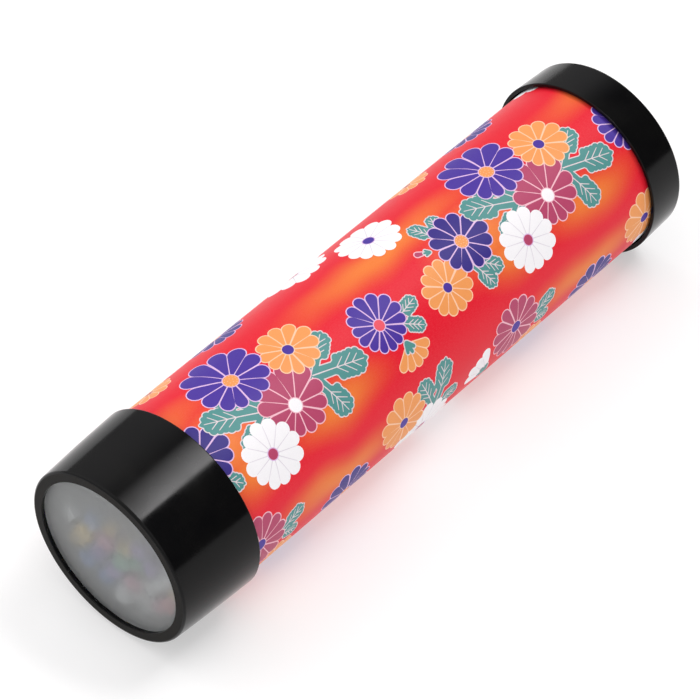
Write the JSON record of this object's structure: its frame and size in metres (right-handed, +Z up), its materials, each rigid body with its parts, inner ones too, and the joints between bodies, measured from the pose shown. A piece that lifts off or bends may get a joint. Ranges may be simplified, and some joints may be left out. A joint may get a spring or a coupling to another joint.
{
  "type": "kaleidoscope",
  "caption": "Paper-covered tube kaleidoscope with a turning bead cell behind a frosted disc, a mirror prism and a black peephole eyepiece.",
  "frame": {"origin": "bottom centre of the whole object as it lies on its side, midway along its length", "axes": "+Y along the tube's axis from the object cell to the eyepiece, +Z up, +X to the right looking along +Y"},
  "size_m": [0.0532, 0.1924, 0.0532],
  "materials": {
    "card": "matt grey-brown board",
    "black_card": "matt",
    "printed_paper": "satin printed paper, red ground with orange bands and chrysanthemums",
    "black_plastic": "gloss",
    "white_plastic": "satin",
    "clear_plastic": "clear",
    "frosted_plastic": "frosted, translucent",
    "mirror": "front-silvered",
    "tape": "satin paper tape",
    "foam": "matt open-cell foam",
    "bead_yellow": "transparent, gloss",
    "bead_blue": "transparent, gloss",
    "bead_pink": "transparent, gloss",
    "bead_red": "transparent, gloss",
    "bead_green": "transparent, gloss",
    "bead_violet": "transparent, gloss",
    "bead_clear": "transparent, gloss"
  },
  "bodies": {
    "tube_body": {"cardboard_tube": "card", "paper_wrap": "printed_paper", "bearing_collar": "white_plastic", "front_mirror_plate": "black_card", "mirror_strip_1": "mirror", "mirror_strip_2": "mirror", "mirror_strip_3": "mirror", "tape_band_1": "tape", "tape_band_2": "tape", "tape_band_3": "tape", "foam_pad_1": "foam", "foam_pad_2": "foam", "foam_pad_3": "foam", "rear_mirror_plate": "black_card", "eyepiece_cap": "black_plastic", "eyepiece_window": "clear_plastic", "eyepiece_gasket": "foam"},
    "object_cell": {"cell_shell": "black_plastic", "diffuser_disc": "frosted_plastic", "cell_spacer": "black_plastic", "cell_window": "clear_plastic", "retaining_ring": "black_plastic"},
    "bead_charge": {"bead_01": "bead_clear", "bead_02": "bead_blue", "bead_03": "bead_clear", "bead_04": "bead_pink", "bead_05": "bead_blue", "bead_06": "bead_pink", "bead_07": "bead_violet", "bead_08": "bead_red", "bead_09": "bead_violet", "bead_10": "bead_yellow", "bead_11": "bead_clear", "bead_12": "bead_green", "bead_13": "bead_yellow", "bead_14": "bead_yellow", "bead_15": "bead_pink", "bead_16": "bead_clear", "bead_17": "bead_green", "bead_18": "bead_clear", "bead_19": "bead_violet", "bead_20": "bead_yellow", "bead_21": "bead_clear", "bead_22": "bead_blue", "bead_23": "bead_yellow", "bead_24": "bead_violet"}
  },
  "joints": [
    {"name": "cell_turn", "type": "hinge", "parent": "tube_body", "child": "object_cell", "pos_m": [0, -0.0834, 0.0266], "axis": [0, 1, 0], "continuous": true},
    {"name": "charge_tumble", "type": "hinge", "parent": "object_cell", "child": "bead_charge", "pos_m": [0, -0.0898, 0.0266], "axis": [0, 1, 0], "continuous": true}
  ]
}
